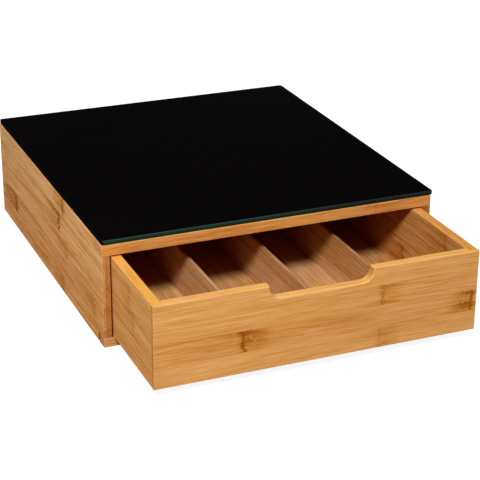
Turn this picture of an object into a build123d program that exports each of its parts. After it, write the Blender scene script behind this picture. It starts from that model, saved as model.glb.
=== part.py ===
"""Coffee capsule drawer: a bamboo case with a black glass top and one drawer with four channels.

The origin is the middle of the case's lower front edge, on the surface that the case stands on.
X runs to the right, Y to the back and Z up, all in millimetres.
The drawer is drawn partly open, as far as it stands in the photograph.
"""
from build123d import *
import os

# Case, outside sizes without the glass
case_width = 310.0
case_depth = 335.0
case_height = 94.0

# Case boards
side_thickness = 8.0
back_thickness = 8.0
top_rail_height = 10.0
top_rail_depth = 15.2
bottom_rail_height = 8.5
bottom_rail_depth = 13.0
corner_notch_depth = 16.0

# Thin panels let into grooves
panel_thickness = 4.0
panel_tongue = 3.7
panel_play = 0.3
groove_snug = 0.05
top_panel_below_glass = 4.0

# Glass and the clear dots that hold it
glass_thickness = 4.0
glass_in_at_left = 0.6
glass_out_at_right = 1.8
glass_in_at_front = 0.4
glass_in_at_back = 0.1
glass_corner_radius = 2.0
glass_arris = 0.4
dot_diameter = 6.0
dot_thickness = 0.3
dot_from_corner = 40.0

# Drawer: its place in the case and how far it stands open
drawer_open = 101.0
drawer_gap_side = 0.7
drawer_gap_under = 0.2
drawer_gap_top = 1.3
drawer_gap_back = 0.3

# Drawer boards
drawer_wall = 9.0
front_lip = 3.5
drawer_floor_up = 6.3
divider_thickness = 3.0
divider_height = 41.5
divider_tongue = 3.0
divider_names = ("divider_left", "divider_centre", "divider_right")

# Finger notch in the drawer front
notch_width = 93.0
notch_drop = 11.5
notch_radius = 10.0
notch_ease = 1.5

# Dowels, with a thin space for glue round each
dowel_diameter = 4.0
dowel_glue_gap = 0.05
dowel_end_space = 0.5
rail_dowel_length = 20.0
back_dowel_length = 26.0
back_dowel_in_side = 5.6
back_dowel_heights = (0.3, 0.7)

# Rounding of the sanded edges
edge_ease = 0.8
divider_ease = 0.5

# How far a cut runs past its board, and how close two places are taken as one
cut_past = 1.0
same_place = 1e-4

# Places worked out from the sizes above
case_half = case_width / 2
opening_half = case_half - side_thickness
opening_low = bottom_rail_height
opening_high = case_height - top_rail_height
case_back_inside = case_depth - back_thickness

drawer_half = opening_half - drawer_gap_side
drawer_inside = drawer_half - drawer_wall
drawer_low = opening_low + drawer_gap_under
drawer_high = opening_high - drawer_gap_top
drawer_start = -drawer_open
drawer_length = case_back_inside - drawer_gap_back
drawer_end = drawer_start + drawer_length
drawer_front_inside = drawer_start + drawer_wall
drawer_back_inside = drawer_end - drawer_wall
drawer_floor_low = drawer_low + drawer_floor_up
drawer_floor_top = drawer_floor_low + panel_thickness
channels = len(divider_names) + 1


def block(xs, ys, zs):
    """A squared block between two faces on each axis."""
    low = [min(pair) for pair in (xs, ys, zs)]
    size = [max(pair) - min(pair) for pair in (xs, ys, zs)]
    return Pos(*low) * Box(*size, align=(Align.MIN, Align.MIN, Align.MIN))


def grown(span, by):
    """A span made longer by the same amount at both ends."""
    return (span[0] - by, span[1] + by)


def both_ways(half):
    """The span that lies evenly about the middle plane."""
    return (-half, half)


def edges_on(part, axis, *places):
    """The edges that run in a plane square to the axis, at one of the given places."""
    def lies_there(edge):
        box = edge.bounding_box()
        low = getattr(box.min, axis)
        high = getattr(box.max, axis)
        return any(abs(low - at) < same_place and abs(high - at) < same_place for at in places)
    return part.edges().filter_by(lies_there)


def edges_between(part, one, other):
    """The edges where two faces meet, each face given by its axis and its place or places on it."""
    second = edges_on(part, *other)
    return [edge for edge in edges_on(part, *one) if edge in second]


def without(edges, left_out):
    """The edges that aren't among those left out."""
    return [edge for edge in edges if edge not in left_out]


def dowel_along(axis, middle, length, radius):
    """A round rod across or upright, with its middle at the given point."""
    turned = {"X": Rot(0, 90, 0), "Z": Rot(0, 0, 0)}[axis]
    return Pos(*middle) * turned * Cylinder(radius, length)


def dowels(axis, middles, length):
    """A set of like dowels, each a solid of its own."""
    return Compound(children=[dowel_along(axis, at, length, dowel_diameter / 2) for at in middles])


def dowel_holes(axis, middles, length):
    """The holes for a set of dowels, with glue space round them and past their ends."""
    radius = dowel_diameter / 2 + dowel_glue_gap
    return [dowel_along(axis, at, length + 2 * dowel_end_space, radius) for at in middles]


# Places of the dowels

def rail_dowel_places():
    """Upright dowels through the rail ends into the sides, flush with the case's top and underside."""
    places = []
    for side in (-1, 1):
        x = side * (case_half - side_thickness / 2)
        places.append((x, top_rail_depth / 2, case_height - rail_dowel_length / 2))
        places.append((x, bottom_rail_depth / 2, rail_dowel_length / 2))
    return places


def case_back_dowel_places():
    """Blind dowels between each side and the end of the back board, at two shares of the case's height."""
    x = opening_half + back_dowel_in_side - back_dowel_length / 2
    y = case_depth - back_thickness / 2
    return [(side * x, y, share * case_height) for side in (-1, 1) for share in back_dowel_heights]


def drawer_back_dowel_places():
    """Dowels driven through the drawer sides into the ends of the drawer back, flush outside."""
    x = drawer_half - back_dowel_length / 2
    y = drawer_end - drawer_wall / 2
    rise = drawer_high - drawer_low
    return [(side * x, y, drawer_low + share * rise) for side in (-1, 1) for share in back_dowel_heights]


# Thin panels of the case

def panel_plan(rail_back):
    """Plan of a case panel: wide between the sides and into the back, narrower into the front rail."""
    inner_wide = both_ways(opening_half)
    outer_wide = both_ways(opening_half + panel_tongue)
    front = (rail_back - panel_tongue, corner_notch_depth + panel_play)
    behind = (corner_notch_depth + panel_play, case_back_inside + panel_tongue)
    return inner_wide, outer_wide, front, behind


def case_panel(rail_back, low):
    """A thin panel of the case, lying at the given height."""
    inner_wide, outer_wide, front, behind = panel_plan(rail_back)
    height = (low, low + panel_thickness)
    return block(inner_wide, front, height) + block(outer_wide, behind, height)


def case_panel_space(rail_back, low):
    """The groove that runs round a case panel in the boards that hold it."""
    inner_wide, outer_wide, front, behind = panel_plan(rail_back)
    height = grown((low, low + panel_thickness), groove_snug)
    through = block(inner_wide, (front[0] - panel_play, behind[0]), height)
    return through + block(grown(outer_wide, panel_play), grown(behind, panel_play), height)


floor_panel_low = opening_low - panel_thickness
top_panel_low = case_height - top_panel_below_glass - panel_thickness


def case_panel_spaces():
    """The grooves of both case panels."""
    return [
        case_panel_space(bottom_rail_depth, floor_panel_low),
        case_panel_space(top_rail_depth, top_panel_low),
    ]


# Boards of the case

def case_side_left():
    """Left side: a board cut away at both front corners, where the ends of the rails come through.

    Its outer edges are eased, but not the one that it stands on.
    """
    board = Pos(case_depth / 2, case_height / 2) * Rectangle(case_depth, case_height)
    notches = []
    for height, middle in (
        (top_rail_height, case_height - top_rail_height / 2),
        (bottom_rail_height, bottom_rail_height / 2),
    ):
        notches.append(Pos(corner_notch_depth / 2, middle) * Rectangle(corner_notch_depth, height))
    side = extrude(Plane.YZ.offset(-case_half) * (board - notches), amount=side_thickness)
    outer = ("X", -case_half)
    rim = edges_between(side, outer, ("Y", 0, case_depth)) + edges_between(side, outer, ("Z", case_height))
    side = fillet(rim, edge_ease)
    for space in case_panel_spaces():
        side -= space
    side -= dowel_holes("Z", rail_dowel_places(), rail_dowel_length)
    side -= dowel_holes("X", case_back_dowel_places(), back_dowel_length)
    return side


def rail(depth, low, high):
    """A front rail across the full width, eased all round its front face except on its underside."""
    board = block(both_ways(case_half), (0, depth), (low, high))
    return board, without(edges_on(board, "Y", 0), edges_on(board, "Z", 0))


def case_top_rail():
    """Rail above the drawer, grooved at the back for the top panel."""
    board, rim = rail(top_rail_depth, opening_high, case_height)
    rim += edges_between(board, ("Z", case_height), ("X", -case_half, case_half))
    board = fillet(rim, edge_ease)
    board -= case_panel_space(top_rail_depth, top_panel_low)
    return board - dowel_holes("Z", rail_dowel_places(), rail_dowel_length)


def case_bottom_rail():
    """Rail below the drawer, rebated at its upper back edge so that the floor panel lies flush with it."""
    board, rim = rail(bottom_rail_depth, 0, bottom_rail_height)
    board = fillet(rim, edge_ease)
    board -= case_panel_space(bottom_rail_depth, floor_panel_low)
    return board - dowel_holes("Z", rail_dowel_places(), rail_dowel_length)


def case_back():
    """Back board between the sides, with its upper outer edge eased."""
    board = block(both_ways(opening_half), (case_back_inside, case_depth), (0, case_height))
    board = fillet(edges_between(board, ("Z", case_height), ("Y", case_depth)), edge_ease)
    for space in case_panel_spaces():
        board -= space
    return board - dowel_holes("X", case_back_dowel_places(), back_dowel_length)


# Glass

def glass_low():
    """Height of the glass's underside, on top of the clear dots."""
    return case_height + dot_thickness


def glass_top():
    """Black glass pane with rounded corners and a fine arris all round."""
    left = -case_half + glass_in_at_left
    right = case_half + glass_out_at_right
    front = glass_in_at_front
    back = case_depth - glass_in_at_back
    middle = Pos((left + right) / 2, (front + back) / 2, glass_low())
    outline = RectangleRounded(right - left, back - front, glass_corner_radius)
    pane = extrude(middle * outline, glass_thickness)
    rim = edges_on(pane, "Z", glass_low(), glass_low() + glass_thickness)
    return chamfer(rim, glass_arris)


def glass_dots():
    """Clear adhesive dots along the top of the sides, the top rail and the back board."""
    side_x = case_half - side_thickness / 2
    side_ys = (dot_from_corner, case_depth / 2, case_depth - dot_from_corner)
    places = [(side * side_x, y) for side in (-1, 1) for y in side_ys]
    across = opening_half - dot_from_corner
    rail_and_back_ys = (top_rail_depth / 2, case_depth - back_thickness / 2)
    places += [(x, y) for x in (-across, across) for y in rail_and_back_ys]
    dots = [Pos(x, y, case_height + dot_thickness / 2) * Cylinder(dot_diameter / 2, dot_thickness)
            for x, y in places]
    return Compound(children=dots)


# Drawer floor and dividers

def drawer_floor(play=0.0, snug=0.0):
    """Thin drawer floor with a tongue into all four walls, or with play added, the groove that takes it."""
    return block(
        grown(both_ways(drawer_inside), panel_tongue + play),
        grown((drawer_front_inside, drawer_back_inside), panel_tongue + play),
        grown((drawer_floor_low, drawer_floor_top), snug),
    )


def divider_middle(number):
    """Middle of a divider, counted from the left, with all channels of one width."""
    clear = 2 * drawer_inside - (channels - 1) * divider_thickness
    channel = clear / channels
    return -drawer_inside + number * (channel + divider_thickness) - divider_thickness / 2


def divider_board(number, play=0.0, snug=0.0):
    """Upright divider from front to back, or with play added, the slots that take its ends."""
    middle = divider_middle(number)
    return block(
        grown((middle, middle), divider_thickness / 2 + snug),
        grown((drawer_front_inside, drawer_back_inside), divider_tongue + play),
        (drawer_floor_top, drawer_floor_top + divider_height + snug),
    )


def divider(number):
    """Divider with its upper edges rounded over."""
    board = divider_board(number)
    top = edges_on(board, "Z", drawer_floor_top + divider_height)
    ends = edges_on(board, "Y", drawer_front_inside - divider_tongue, drawer_back_inside + divider_tongue)
    return fillet(without(top, ends), divider_ease)


def cut_for_fittings(board):
    """A drawer wall with its groove for the floor and its slots for the dividers."""
    board -= drawer_floor(play=panel_play, snug=groove_snug)
    for number in range(1, channels):
        board -= divider_board(number, play=panel_play, snug=groove_snug)
    return board - dowel_holes("X", drawer_back_dowel_places(), back_dowel_length)


# Walls of the drawer

def drawer_front():
    """Drawer front: a lip at each end laps over the side, and a wide finger notch dips into its top edge.

    The notch is sanded rounder than the board's own edges, on both faces.
    """
    width = 2 * drawer_half
    height = drawer_high - drawer_low
    corner = min(notch_radius, notch_drop - edge_ease)
    outline = Pos(0, drawer_low + height / 2) * Rectangle(width, height)
    outline -= Pos(0, drawer_high) * RectangleRounded(notch_width, 2 * notch_drop, corner)
    board = extrude(Plane.XZ.offset(-drawer_front_inside) * outline, amount=drawer_wall)
    notch_low = drawer_high - notch_drop - same_place
    round_notch = edges_on(board, "Y", drawer_start, drawer_front_inside).filter_by_position(
        Axis.Z, notch_low, drawer_high - same_place)
    board = fillet(round_notch, notch_ease)
    outer_rim = edges_between(board, ("Y", drawer_start), ("Z", drawer_low, drawer_high))
    outer_rim += edges_between(board, ("Y", drawer_start), ("X", -drawer_half, drawer_half))
    inner_rim = edges_between(board, ("Y", drawer_front_inside), ("Z", drawer_high))
    board = fillet(outer_rim + inner_rim, edge_ease)
    for side in (-1, 1):
        board -= block(
            (side * drawer_inside, side * (drawer_half + cut_past)),
            (drawer_start + front_lip, drawer_front_inside + cut_past),
            grown((drawer_low, drawer_high), cut_past),
        )
    return cut_for_fittings(board)


def drawer_side_left():
    """Left drawer side, from behind the front's lip to the back end, rounded along its top and outside."""
    board = block(
        (-drawer_half, -drawer_inside),
        (drawer_start + front_lip, drawer_end),
        (drawer_low, drawer_high),
    )
    inner_low = edges_between(board, ("X", -drawer_inside), ("Z", drawer_low))
    back_corner = edges_between(board, ("X", -drawer_half), ("Y", drawer_end))
    board = fillet(without(board.edges().filter_by(Axis.Y), inner_low) + back_corner, edge_ease)
    return cut_for_fittings(board)


def drawer_back():
    """Drawer back, between the sides and as high as they are."""
    board = block(
        both_ways(drawer_inside),
        (drawer_back_inside, drawer_end),
        (drawer_low, drawer_high),
    )
    inner_low = edges_between(board, ("Y", drawer_back_inside), ("Z", drawer_low))
    board = fillet(without(board.edges().filter_by(Axis.X), inner_low), edge_ease)
    return cut_for_fittings(board)


def mirrored(piece):
    """The same piece for the other side."""
    return mirror(piece, about=Plane.YZ)


left_case_side = case_side_left()
left_drawer_side = drawer_side_left()

pieces = {
    "case_side_left": left_case_side,
    "case_side_right": mirrored(left_case_side),
    "case_top_rail": case_top_rail(),
    "case_bottom_rail": case_bottom_rail(),
    "case_back": case_back(),
    "case_top_panel": case_panel(top_rail_depth, top_panel_low),
    "case_floor_panel": case_panel(bottom_rail_depth, floor_panel_low),
    "case_rail_dowels": dowels("Z", rail_dowel_places(), rail_dowel_length),
    "case_back_dowels": dowels("X", case_back_dowel_places(), back_dowel_length),
    "glass_top": glass_top(),
    "glass_dots": glass_dots(),
    "drawer_front": drawer_front(),
    "drawer_side_left": left_drawer_side,
    "drawer_side_right": mirrored(left_drawer_side),
    "drawer_back": drawer_back(),
    "drawer_floor": drawer_floor(),
    "drawer_back_dowels": dowels("X", drawer_back_dowel_places(), back_dowel_length),
}
for number, name in enumerate(divider_names, start=1):
    pieces[name] = divider(number)

os.makedirs("parts", exist_ok=True)
for name, piece in pieces.items():
    export_step(piece, f"parts/{name}.step")
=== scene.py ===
"""The looks of a coffee capsule drawer: bamboo case and drawer, black glass top, white studio."""
import math

import bmesh
import bpy
from mathutils import Matrix, Vector


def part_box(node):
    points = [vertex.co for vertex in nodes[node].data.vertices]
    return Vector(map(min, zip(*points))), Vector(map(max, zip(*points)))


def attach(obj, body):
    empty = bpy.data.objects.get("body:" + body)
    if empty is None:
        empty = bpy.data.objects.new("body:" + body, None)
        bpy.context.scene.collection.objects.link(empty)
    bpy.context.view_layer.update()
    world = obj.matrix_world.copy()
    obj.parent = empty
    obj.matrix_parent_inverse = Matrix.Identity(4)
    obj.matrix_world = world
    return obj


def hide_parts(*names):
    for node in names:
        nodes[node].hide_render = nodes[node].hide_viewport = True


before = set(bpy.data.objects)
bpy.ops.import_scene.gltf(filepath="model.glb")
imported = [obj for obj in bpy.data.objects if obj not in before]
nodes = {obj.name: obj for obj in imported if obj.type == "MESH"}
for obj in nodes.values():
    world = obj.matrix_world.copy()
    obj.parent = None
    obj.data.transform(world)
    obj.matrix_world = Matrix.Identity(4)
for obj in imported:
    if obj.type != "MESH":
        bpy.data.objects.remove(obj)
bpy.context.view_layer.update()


# Sides of the case
# Each is one board pressed from bamboo strips about 20 mm wide, with the fibres running front to back.
# The dark knuckles of the canes stay within their strip. The front ends show cut fibres in two layers,
# with a thin line of painted shade along their inner edge, beside the drawer gap.

class Wire:
    """One output of a material's nodes. Sums and products written with wires add Math nodes."""

    def __init__(self, tree, socket=None):
        self.tree = tree
        self.socket = socket

    def node(self, kind, settings=None, inputs=None, output=0):
        """Adds a node with its settings, feeds its sockets with values or wires and gives one output."""
        made = self.tree.nodes.new(kind)
        for name, value in (settings or {}).items():
            if name == "stops":
                made.color_ramp.elements.remove(made.color_ramp.elements[0])
                made.color_ramp.elements[0].position, made.color_ramp.elements[0].color = value[0]
                for position, colour in value[1:]:
                    made.color_ramp.elements.new(position).color = colour
            else:
                setattr(made, name, value)
        for name, value in (inputs or {}).items():
            if isinstance(value, Wire):
                self.tree.links.new(value.socket, made.inputs[name])
            else:
                made.inputs[name].default_value = value
        return Wire(self.tree, made.outputs[output])

    def into(self, shader, name):
        """Feeds a socket of a shader."""
        self.tree.links.new(self.socket, shader.inputs[name])

    def math(self, operation, *values):
        """Adds a Math node that works on some values or wires."""
        return self.node("ShaderNodeMath", {"operation": operation}, dict(enumerate(values)))

    def __add__(self, other):
        return self.math("ADD", self, other)

    def __sub__(self, other):
        return self.math("SUBTRACT", self, other)

    def __rsub__(self, other):
        return self.math("SUBTRACT", other, self)

    def __mul__(self, other):
        return self.math("MULTIPLY", self, other)

    def __truediv__(self, other):
        return self.math("DIVIDE", self, other)

    __radd__ = __add__
    __rmul__ = __mul__

    def size(self):
        """The value without its sign."""
        return self.math("ABSOLUTE", self)

    def whole(self):
        """The whole number at or below the value."""
        return self.math("FLOOR", self)

    def most(self, other):
        """The larger of two values."""
        return self.math("MAXIMUM", self, other)

    def rise(self, low, high):
        """Goes smoothly from 0 at low to 1 at high."""
        return self.node("ShaderNodeMapRange", {"interpolation_type": "SMOOTHSTEP"},
                         {"Value": self, "From Min": low, "From Max": high})

    def parts(self):
        """The three parts of a vector."""
        return [self.node("ShaderNodeSeparateXYZ", None, {0: self}, index) for index in range(3)]

    def noise(self, x, y, z, detail=2.0, roughness=0.5, distortion=0.0):
        """Cloudy noise from 0 to 1 at a point given by three wires."""
        spot = self.node("ShaderNodeCombineXYZ", None, {0: x, 1: y, 2: z})
        return self.node("ShaderNodeTexNoise", None, {
            "Vector": spot, "Scale": 1.0, "Detail": detail, "Roughness": roughness,
            "Distortion": distortion})

    def chance(self, seed):
        """A random number from 0 to 1, the same wherever the wire has the same value."""
        return self.node("ShaderNodeTexWhiteNoise", {"noise_dimensions": "1D"}, {"W": self + seed})

    def between(self, first, second):
        """The colour that lies between two others, at the wire's share."""
        return self.node("ShaderNodeMix", {"data_type": "RGBA"}, {0: self, 6: first, 7: second}, 2)


def tinted(colour, shares):
    """A colour with each channel multiplied by its own share."""
    return tuple(channel * share for channel, share in zip(colour, shares)) + (1.0,)


def new_finish(name):
    """An empty material, its first wire and its surface shader."""
    material = bpy.data.materials.new(name)
    material.use_nodes = True
    shader = material.node_tree.nodes["Principled BSDF"]
    return material, Wire(material.node_tree), shader


MM_PER_METRE = 1000.0


def in_millimetres(start):
    """The three Object coordinates of a material, in millimetres."""
    return start.node("ShaderNodeVectorMath", {"operation": "SCALE"}, {
        0: start.node("ShaderNodeTexCoord", output="Object"), "Scale": MM_PER_METRE}).parts()


# Lengths along and across the strips are in millimetres, and the relief is in metres.
STRIP_WIDTH = 20.0
STRIP_SLANT = 0.05
STRIP_SHIFT = 400.0
STRAY_FAR = 6.0
STRAY_NEAR = 1.3
STREAK_LEAST = 3.0
STREAK_MOST = 34.0
RAGGEDNESS = 11.0
WITHIN_STRIP = (STRIP_WIDTH / 2 - 1.2, STRIP_WIDTH / 2 - 0.2)
SCAR_DARKNESS = 0.24
STREAK_DARKNESS = 0.16
STAIN_DARKNESS = 0.10
SWIRL_BEND = 7.0
SKIN_TINT = (1.25, 1.45, 1.8)
SHADOW_TINT = (0.14, 0.06, 0.03)
YELLOWER = (1.0, 0.98, 0.84, 1.0)
PINKER = (0.99, 0.94, 0.91, 1.0)
EDGE_WEAR_AND_HIGHLIGHT = 0.3
RELIEF_DEPTH = 0.0002


def bamboo(name, grain, across, face, side, end, first_strip=0.0, knuckles=(), seed=0.0,
           contrast=1.0, strip_contrast=0.24, line_contrast=1.0, waves=1.0, skin=None, shadow=None):
    """Bamboo board in millimetres: grain and across are the axes along the fibres and over the strips.

    face, side and end are its colours on broad faces, narrow faces and cut ends. first_strip is where a
    strip begins, and seed picks the random pattern. A knuckle is a place along the fibres, a place across
    them, a strength and a length, which is negative when the knuckle points back. waves is how far the
    fibres stray from straight lines. On the cut ends, skin is how far out the paler layer starts, and
    shadow is the place and half the width of a dark line beside a gap.
    """
    material, start, shader = new_finish(name)
    axes = in_millimetres(start)
    along, over, deep = axes[grain], axes[across], axes[3 - grain - across]
    strip = ((over - first_strip) / STRIP_WIDTH).whole()
    tone_of_strip = strip.chance(seed + 0.37)
    slant_of_strip = (strip.chance(seed + 2.9) - 0.5) * STRIP_SLANT
    far_along = along + strip.chance(seed + 5.81) * STRIP_SHIFT

    drift = start.noise(far_along * 0.007, over * 0.05, deep * 0.05 + seed, detail=1.0)
    ripple = start.noise(far_along * 0.05, over * 0.18, deep * 0.18 + seed, detail=2.0)
    stray = far_along * slant_of_strip + (drift - 0.5) * STRAY_FAR + (ripple - 0.5) * STRAY_NEAR
    bent = over + stray * waves

    # Knuckles: a thin scar, streaks beside it, a stain after it and a swirling core.
    dark = along * 0.0
    core = along * 0.0
    flame = start.noise(along * 0.01, bent * 0.24, deep * 0.24 + seed, detail=1.0)
    reach = flame.rise(0.45, 0.75) * STREAK_MOST + STREAK_LEAST
    for place, height, strength, length in knuckles:
        wobble = start.noise(over * 0.28, deep * 0.28, along * 0.06 + place, detail=3.0, roughness=0.65)
        past = (along - place) / length + (wobble - 0.5) * RAGGEDNESS
        away = past.size()
        within = (1 - (over - height).size().rise(*WITHIN_STRIP)) * strength
        scar = (1 - away.rise(0.3, 1.7)) * SCAR_DARKNESS * strength
        streaks = (1 - away.rise(0.5, reach)) * STREAK_DARKNESS
        stained = (1 - past.rise(12.0, 25.0)) * past.rise(-6.0, 0.5)
        stain = stained * (flame.rise(0.3, 0.7) * STAIN_DARKNESS + STAIN_DARKNESS)
        dark = dark.most((scar + streaks + stain) * within)
        core = core.most((1 - (past - 5.0).size().rise(3.0, 8.0)) * within)
    swirl = start.noise(along * 0.34, over * 0.30, deep * 0.30 + seed, detail=2.0, distortion=1.8)
    bent = bent + core * (swirl - 0.5) * SWIRL_BEND

    # Tone: strips and broad clouds first, then fine lines and fibres.
    broad = start.noise(far_along * 0.006, bent * 0.11, deep * 0.11 + seed, detail=2.0)
    lines = start.noise(far_along * 0.014, bent * 0.68, deep * 0.68 + seed, 3.0, 0.7)
    fibres = start.noise(far_along * 0.05, bent * 1.5, deep * 1.5 + seed, 2.0, 0.7)
    coarse = (tone_of_strip - 0.5) * strip_contrast + (broad - 0.5) * 0.4
    fine = (lines - 0.5) * 1.1 + (fibres - 0.5) * 0.8
    tone = (coarse + fine * line_contrast) * contrast + 0.5 - dark + core * (swirl - 0.54) * 0.9

    def shades(colour):
        """The tone as shades of one colour: browner when dark, paler and less yellow when light."""
        return tone.node("ShaderNodeValToRGB", {"stops": [
            (0.0, tinted(colour, (0.46, 0.27, 0.08))), (0.3, tinted(colour, (0.82, 0.69, 0.42))),
            (0.5, tinted(colour, (1.0, 1.0, 1.0))), (0.7, tinted(colour, (1.16, 1.29, 1.75))),
            (1.0, tinted(colour, (1.25, 1.48, 2.4)))]}, {0: tone})

    facing = start.node("ShaderNodeTexCoord", output="Normal").parts()
    on_side, on_end, on_face = (facing[axis].size() for axis in (across, grain, 3 - grain - across))
    cut = shades(end)
    if skin is not None:
        cut = deep.size().rise(skin - 0.3, skin + 0.3).between(cut, shades(tinted(end, SKIN_TINT)))
    # Painted shade: a dark line across the cut ends, beside a gap.
    if shadow is not None:
        line, half_width = shadow
        beside = (deep.size() - line).size().rise(half_width - 0.1, half_width + 0.1)
        cut = beside.between(shades(tinted(end, SHADOW_TINT)), cut)
    uncut = on_side.rise(0.5, 0.9).between(shades(face), shades(side))
    colour = on_end.rise(0.4, 1.0).between(uncut, cut)
    hue = start.noise(far_along * 0.008, over * 0.04, deep * 0.04 + seed + 3.0, detail=2.0)
    tint = (hue - (tone_of_strip - 0.5) * 0.25).rise(0.38, 0.68).between(YELLOWER, PINKER)
    # Rounded edges are paler: partly sanding wear, partly a painted highlight where they catch the light.
    worn_and_highlit = (on_face * (on_side + on_end)).rise(0.35, 1.0) * EDGE_WEAR_AND_HIGHLIGHT + 1
    tinged = start.node("ShaderNodeMix", {"data_type": "RGBA", "blend_type": "MULTIPLY"},
                        {0: 1.0, 6: colour, 7: tint}, 2)
    finished = start.node("ShaderNodeVectorMath", {"operation": "SCALE"}, {0: tinged, "Scale": worn_and_highlit})
    finished.into(shader, "Base Color")
    shader.inputs["IOR"].default_value = 1.45
    shader.inputs["Specular IOR Level"].default_value = 0.015
    roughness = 0.46 + (1 - broad) * 0.16 + on_end * 0.1
    roughness.into(shader, "Roughness")
    relief = lines * 0.5 + fibres * 0.5 + core * swirl
    bump = start.node("ShaderNodeBump", None, {
        "Strength": 0.25, "Distance": RELIEF_DEPTH, "Height": relief})
    bump.into(shader, "Normal")
    return material


def dress(material, *names):
    """Gives CAD nodes their finish."""
    for name in names:
        nodes[name].material_slots[0].material = material


X, Y, Z = range(3)
CASE_FACE = (0.775, 0.392, 0.142)
CASE_SIDE = (0.66, 0.33, 0.12)
CASE_END = (0.41, 0.17, 0.05)
SKIN_DEPTH = 2.7
# Half the width of the line of painted shade beside the drawer gap.
GAP_SHADE_HALF = 0.8
skin_from = abs(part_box("case_side_left")[0].x) * MM_PER_METRE - SKIN_DEPTH
inner_edge = abs(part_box("case_side_left")[1].x) * MM_PER_METRE
left_knuckles = [(113, 87, 1.1, 1.6), (128, 67, 1.3, 2.0), (107, 47, 0.4, 1.5), (120, 7, 0.6, 1.5),
                 (26, 27, 0.45, 1.3), (281, 27, 1.2, 2.0)]
right_knuckles = [(60, 47, 0.7, 1.3), (190, 67, 0.6, 1.6), (262, 27, 0.5, 1.2), (148, 7, 0.6, 1.0),
                  (310, 87, 0.8, -1.5)]
dress(bamboo("case_left_bamboo", Y, Z, CASE_FACE, CASE_SIDE, CASE_END, -3.0, left_knuckles, 10.0,
             contrast=1.15, skin=skin_from, shadow=(inner_edge, GAP_SHADE_HALF)), "case_side_left")
dress(bamboo("case_right_bamboo", Y, Z, CASE_FACE, CASE_SIDE, CASE_END, -3.0, right_knuckles, 2.0,
             contrast=1.15, skin=skin_from, shadow=(inner_edge, GAP_SHADE_HALF)), "case_side_right")


# Front rails of the case
# Slim bamboo bars across the front, above and below the drawer. Their ends come through the notched
# corners of the sides, so the cut fibres show there, darker and a little pink. The back of the lower
# rail's end has a band of painted shade, like a dark slot.

RAIL_FACE = (0.70, 0.305, 0.082)
RAIL_SIDE = (0.66, 0.33, 0.12)
RAIL_END = (0.69, 0.38, 0.17)
LOW_RAIL_FACE = (0.57, 0.295, 0.12)
LOW_RAIL_END = (0.54, 0.27, 0.13)
# Half the width of the band of painted shade at the back of the lower rail's end.
SLOT_SHADE_HALF = 2.2
rail_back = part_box("case_bottom_rail")[1].y * MM_PER_METRE
dress(bamboo("top_rail_bamboo", X, Z, RAIL_FACE, RAIL_SIDE, RAIL_END, 74.0, [(100, 84, 0.35, 1.0)], 3.0,
             strip_contrast=0.0), "case_top_rail")
dress(bamboo("bottom_rail_bamboo", X, Z, LOW_RAIL_FACE, RAIL_SIDE, LOW_RAIL_END, -8.0,
             [(70, 2, 0.4, 1.0)], 4.0, strip_contrast=0.0, shadow=(rail_back, SLOT_SHADE_HALF)),
      "case_bottom_rail")


# Back of the case
# A bamboo board between the two sides, with its fibres running from side to side. Glue and blind
# dowels hold it.

back_knuckles = [(-96, 67, 0.7, 1.3), (-20, 27, 0.6, 1.0), (44, 47, 0.5, 1.2), (110, 7, 0.5, -1.0),
                 (98, 87, 0.8, 1.4)]
dress(bamboo("case_back_bamboo", X, Z, CASE_FACE, CASE_SIDE, CASE_END, -3.0, back_knuckles, 5.0),
      "case_back")


# Thin panels of the case
# Two 4 mm bamboo panels in grooves: the upper one lies hidden under the glass, and the drawer slides
# on the lower one.

THIN_FACE = (0.42, 0.21, 0.095)
THIN_END = (0.36, 0.18, 0.08)
panel_knuckles = [(-90, 60, 0.4, 1.0), (40, 180, 0.5, 1.0), (100, 290, 0.4, 1.0)]
dress(bamboo("case_panel_bamboo", X, Y, THIN_FACE, THIN_FACE, THIN_END, 0.0, panel_knuckles, 6.0),
      "case_top_panel", "case_floor_panel")


# Dowels
# Turned rods of pale wood, glued across the joints. Some end flush with the boards, so their round
# ends show.

def dowel_wood():
    """Pale close-grained wood with faint clouds."""
    material, start, shader = new_finish("dowel_wood")
    x, y, z = in_millimetres(start)
    grain = start.noise(x * 0.8, y * 0.8, z * 0.8, detail=4.0)
    grain.between((0.50, 0.31, 0.15, 1.0), (0.68, 0.47, 0.26, 1.0)).into(shader, "Base Color")
    (0.5 + grain * 0.2).into(shader, "Roughness")
    return material


dress(dowel_wood(), "case_rail_dowels", "case_back_dowels", "drawer_back_dowels")


# Glass top
# A 4 mm pane of safety glass, painted black underneath and held by soft clear adhesive dots.
# Its corners are rounded and its edge is ground and polished, so the light in it looks dark green.

PANE_CORNER = 0.002
PANE_ROUNDING = 0.0006
FLAT_FACES = 6
LEVEL_WITHIN = 1e-5
SHARP_ANGLE = math.radians(35)


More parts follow.
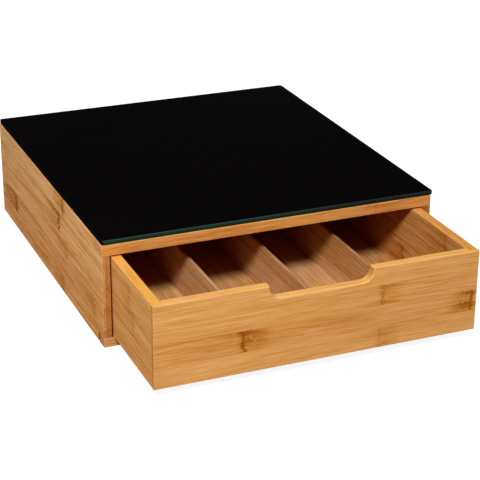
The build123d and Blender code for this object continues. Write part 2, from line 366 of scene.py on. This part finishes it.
def glass_pane():
    """The pane as one closed block with rounded corners and softly rounded rims."""
    low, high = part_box("glass_top")
    pane = bmesh.new()
    bmesh.ops.create_cube(pane, size=1.0)
    bmesh.ops.scale(pane, vec=high - low, verts=pane.verts)
    bmesh.ops.translate(pane, vec=(low + high) / 2, verts=pane.verts)
    upright = [e for e in pane.edges if abs(e.verts[0].co.z - e.verts[1].co.z) > LEVEL_WITHIN]
    bmesh.ops.bevel(pane, geom=upright, offset=PANE_CORNER, affect="EDGES", segments=8, profile=0.5,
                    material=-1)
    rims = [e for e in pane.edges if abs(e.verts[0].co.z - e.verts[1].co.z) < LEVEL_WITHIN]
    bmesh.ops.bevel(pane, geom=rims, offset=PANE_ROUNDING, affect="EDGES", segments=3, profile=0.5,
                    material=-1)
    mesh = bpy.data.meshes.new("glass_pane")
    for face in pane.faces:
        face.smooth = True
        face.material_index = 0 if face.normal.z > 0.9 else 1
    for face in sorted(pane.faces, key=lambda face: face.calc_area())[-FLAT_FACES:]:
        face.smooth = False
    pane.to_mesh(mesh)
    pane.free()
    mesh.set_sharp_from_angle(angle=SHARP_ANGLE)
    piece = bpy.data.objects.new("glass_pane", mesh)
    bpy.context.scene.collection.objects.link(piece)
    return piece


def black_glass():
    """Deep black seen through the pane, with barely visible wipe marks in the polish."""
    material, start, shader = new_finish("black_glass")
    x, y, z = start.node("ShaderNodeTexCoord", output="Object").parts()
    wipes = start.noise(x * 6.0, y * 9.0, z, detail=4.0, distortion=0.6)
    wipes.between((0.0014, 0.0010, 0.0010, 1.0), (0.0026, 0.0020, 0.0020, 1.0)).into(shader, "Base Color")
    (0.015 + wipes * 0.02).into(shader, "Roughness")
    return material


def glass_edge():
    """The ground edge, with light painted in: a painted grey-green highlight line at the top, dark green
    below it, a painted brown glint at the foot.

    The left and right edges look into the black paint, so their painted shade is nearly black, and the
    green of the front edge fades to grey towards the right, a painted change in reflection.
    """
    material, start, shader = new_finish("glass_edge")
    low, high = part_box("glass_top")
    x, y, z = start.node("ShaderNodeTexCoord", output="Object").parts()
    height = (z - low.z) / (high.z - low.z)
    waver = start.noise(x * 40.0, y * 40.0, z * 300.0, detail=2.0)
    bands_with_painted_glints = start.node("ShaderNodeValToRGB", {"stops": [
        (0.0, (0.034, 0.024, 0.003, 1.0)), (0.22, (0.020, 0.026, 0.007, 1.0)),
        (0.45, (0.010, 0.039, 0.021, 1.0)), (0.75, (0.012, 0.047, 0.027, 1.0)),
        (0.92, (0.026, 0.062, 0.060, 1.0)), (1.0, (0.012, 0.020, 0.020, 1.0))]},
        {0: height + (waver - 0.5) * 0.16})
    # Painted shade: the left and right edges are nearly black.
    on_end = start.node("ShaderNodeTexCoord", output="Normal").parts()[0].size().rise(0.1, 0.5)
    # Painted reflection: the front edge's green fades to grey towards the right.
    painted_fade = (x.rise(-0.04, 0.10) * 0.75).between(bands_with_painted_glints, (0.013, 0.017, 0.016, 1.0))
    on_end.between(painted_fade, (0.004, 0.006, 0.005, 1.0)).into(shader, "Base Color")
    (0.36 + waver * 0.10).into(shader, "Roughness")
    shader.inputs["Specular IOR Level"].default_value = 0.0
    return material


pane = glass_pane()
pane.data.materials.append(black_glass())
pane.data.materials.append(glass_edge())
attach(pane, "case")
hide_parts("glass_top")


def clear_dots():
    """Soft clear adhesive, slightly cloudy."""
    material, start, shader = new_finish("clear_dots")
    x, y, z = start.node("ShaderNodeTexCoord", output="Object").parts()
    cloud = start.noise(x * 900.0, y * 900.0, z * 900.0)
    cloud.between((0.55, 0.57, 0.56, 1.0), (0.70, 0.72, 0.71, 1.0)).into(shader, "Base Color")
    (0.25 + cloud * 0.2).into(shader, "Roughness")
    return material


dress(clear_dots(), "glass_dots")


# Drawer front
# A bamboo board with fibres from side to side, rebated over the drawer sides. A wide notch with round
# corners is cut in its upper edge for the fingers. It is the palest and yellowest board.

FRONT_FACE = (0.662, 0.328, 0.11)
FRONT_SIDE = (0.71, 0.357, 0.102)
FRONT_END = (0.56, 0.27, 0.08)
front_knuckles = [(55, 57.5, 0.65, 0.9), (54, 17.5, 0.5, 0.9), (141, 37.5, 1.0, -1.0),
                  (-70, 37.5, 0.95, 1.1)]
dress(bamboo("drawer_front_bamboo", X, Z, FRONT_FACE, FRONT_SIDE, FRONT_END, 7.5, front_knuckles, 371.0,
             contrast=0.66), "drawer_front")


# Drawer sides and back
# Boards like the front, with the fibres running along them. Their upper edges are sanded round.

SIDE_FACE = (0.73, 0.362, 0.122)
# The right side gets darker copies of the side colours: painted shade, as it stands in shadow.
SHADED_RIGHT_FACE = (0.625, 0.292, 0.09)
SIDE_EDGE = (0.705, 0.32, 0.06)
SHADED_EDGE = (0.64, 0.285, 0.065)
SIDE_END = (0.40, 0.19, 0.07)
drawer_left_knuckles = [(-44, 67, 0.42, 1.2), (-53, 47, 0.45, 1.2), (88, 27, 0.6, 1.0),
                        (160, 67, 0.5, 1.0)]
drawer_right_knuckles = [(15, 32, 0.7, 1.3), (-59, 72, 0.5, 1.5), (120, 52, 0.6, 1.0)]
dress(bamboo("drawer_left_bamboo", Y, Z, SIDE_FACE, SIDE_EDGE, SIDE_END, 17.0, drawer_left_knuckles,
             268.0, contrast=0.9), "drawer_side_left")
dress(bamboo("drawer_right_bamboo", Y, Z, SHADED_RIGHT_FACE, SHADED_EDGE, SIDE_END, 2.0, drawer_right_knuckles,
             9.0), "drawer_side_right")
drawer_back_knuckles = [(-88, 37, 0.6, 1.0), (10, 57, 0.5, 1.0), (75, 17, 0.6, -1.0)]
dress(bamboo("drawer_back_bamboo", X, Z, SIDE_FACE, SIDE_EDGE, SIDE_END, 7.5, drawer_back_knuckles,
             10.0), "drawer_back")


# Drawer floor
# A thin bamboo panel in a groove of the four walls. Its strips stand on edge, so fine straight lines
# run from front to back, and its colour is pinkish brown.

FLOOR_FACE = (0.62, 0.334, 0.143)
dress(bamboo("drawer_floor_bamboo", Y, X, FLOOR_FACE, FLOOR_FACE, THIN_END, 3.0, (), 11.0,
             waves=0.1), "drawer_floor")


# Dividers
# Three upright 3 mm boards that make four channels, slotted into the front and the back. Their narrow
# upper edges look paler and pink, and the fine lines run along them.

DIVIDER_FACE = (0.60, 0.31, 0.13)
DIVIDER_TOP = (0.42, 0.215, 0.115)
for number, name in enumerate(("divider_left", "divider_centre", "divider_right")):
    dress(bamboo(f"{name}_bamboo", Y, Z, DIVIDER_FACE, DIVIDER_TOP, THIN_END, 1.0 + 6 * number, (),
                 12.0 + number, line_contrast=1.05, waves=0.1), name)


# Studio
# A white table that keeps a faint shadow, a square soft lamp in front, to the left and high up, and a
# pale ceiling. The room is dark lower down, so the glass stays black.

def white_table():
    """Table top: white to the eye, grey to the light that it throws back."""
    material = bpy.data.materials.new("white_table")
    material.use_nodes = True
    start = Wire(material.node_tree)
    ray = {name: start.node("ShaderNodeLightPath", output=name)
           for name in ("Is Camera Ray", "Is Glossy Ray", "Is Transmission Ray")}
    seen = ray["Is Camera Ray"].most(ray["Is Glossy Ray"]).most(ray["Is Transmission Ray"])
    grain = start.noise(*start.node("ShaderNodeTexCoord", output="Object").parts(), detail=3.0)
    bounce = start.node("ShaderNodeBsdfDiffuse", None, {
        "Color": grain.between((0.55, 0.50, 0.44, 1.0), (0.59, 0.53, 0.47, 1.0))})
    shown = start.node("ShaderNodeAddShader", None, {
        0: start.node("ShaderNodeEmission", None, {"Color": (1.0, 1.0, 1.0, 1.0), "Strength": 0.9}),
        1: start.node("ShaderNodeBsdfDiffuse", None, {"Color": (0.3, 0.3, 0.3, 1.0)})})
    surface = start.node("ShaderNodeMixShader", None, {0: seen, 1: bounce, 2: shown})
    surface.into(material.node_tree.nodes["Material Output"], "Surface")
    return material


TABLE_HALF = 6.0
TABLE_DROP = 0.0003
table_form = bmesh.new()
bmesh.ops.create_grid(table_form, x_segments=4, y_segments=4, size=TABLE_HALF)
bmesh.ops.translate(table_form, vec=(0.0, 0.0, -TABLE_DROP), verts=table_form.verts)
table_mesh = bpy.data.meshes.new("table")
table_form.to_mesh(table_mesh)
table_form.free()
table = bpy.data.objects.new("table", table_mesh)
table.data.materials.append(white_table())
bpy.context.scene.collection.objects.link(table)

CEILING_STRENGTH = 0.95
ROOM_STRENGTH = 0.008
world = bpy.data.worlds.new("studio")
bpy.context.scene.world = world
world.use_nodes = True
sky = Wire(world.node_tree)
up = sky.node("ShaderNodeTexCoord", output="Generated").parts()[2]
ceiling = up.rise(0.63, 0.92) * CEILING_STRENGTH + ROOM_STRENGTH
backdrop = sky.node("ShaderNodeLightPath", output="Is Camera Ray").most(
    sky.node("ShaderNodeLightPath", output="Is Transmission Ray"))
(backdrop + (1 - backdrop) * ceiling).into(world.node_tree.nodes["Background"], "Strength")
world.node_tree.nodes["Background"].inputs["Color"].default_value = (1.0, 1.0, 1.0, 1.0)

LAMP_DISTANCE = 2.0
LAMP_RISE = math.radians(45)
LAMP_TURN = math.radians(-30)
LAMP_AIM = Vector((0.0, 0.05, 0.05))
LAMP_SIZE = 0.33
LAMP_POWER = 36.0
lamp_direction = Vector((math.sin(LAMP_TURN) * math.cos(LAMP_RISE),
                         -math.cos(LAMP_TURN) * math.cos(LAMP_RISE), math.sin(LAMP_RISE)))
lamp = bpy.data.lights.new("soft_lamp", "AREA")
lamp.shape = "SQUARE"
lamp.size = LAMP_SIZE
lamp.energy = LAMP_POWER
lamp_holder = bpy.data.objects.new("soft_lamp", lamp)
lamp_holder.location = LAMP_AIM + lamp_direction * LAMP_DISTANCE
lamp_holder.rotation_euler = lamp_direction.to_track_quat("Z", "Y").to_euler()
bpy.context.scene.collection.objects.link(lamp_holder)


# Camera
# Where the photograph was taken from: to the left of the front and above, with a long lens.

PHOTO_SIZE = 480
FOCAL_PIXELS = 1519.4
SENSOR_WIDTH = 36.0
CAMERA_PLACE = (-0.4942, -1.1029, 0.5984)
camera_turn = math.radians(-22.796)
camera_drop = math.radians(23.432)
camera_roll = math.radians(0.427)
camera = bpy.data.cameras.new("camera")
camera.sensor_width = SENSOR_WIDTH
camera.lens = FOCAL_PIXELS / PHOTO_SIZE * SENSOR_WIDTH
forward = Vector((-math.sin(camera_turn) * math.cos(camera_drop),
                  math.cos(camera_turn) * math.cos(camera_drop), -math.sin(camera_drop)))
right = forward.cross(Vector((0.0, 0.0, 1.0))).normalized()
upward = right.cross(forward)
level = math.cos(camera_roll)
tilt = math.sin(camera_roll)
turned = Matrix((right * level + upward * tilt, upward * level - right * tilt, -forward)).transposed()
camera_holder = bpy.data.objects.new("camera", camera)
camera_holder.matrix_world = Matrix.Translation(CAMERA_PLACE) @ turned.to_4x4()
bpy.context.scene.collection.objects.link(camera_holder)
bpy.context.scene.camera = camera_holder
bpy.context.scene.view_settings.view_transform = "Standard"
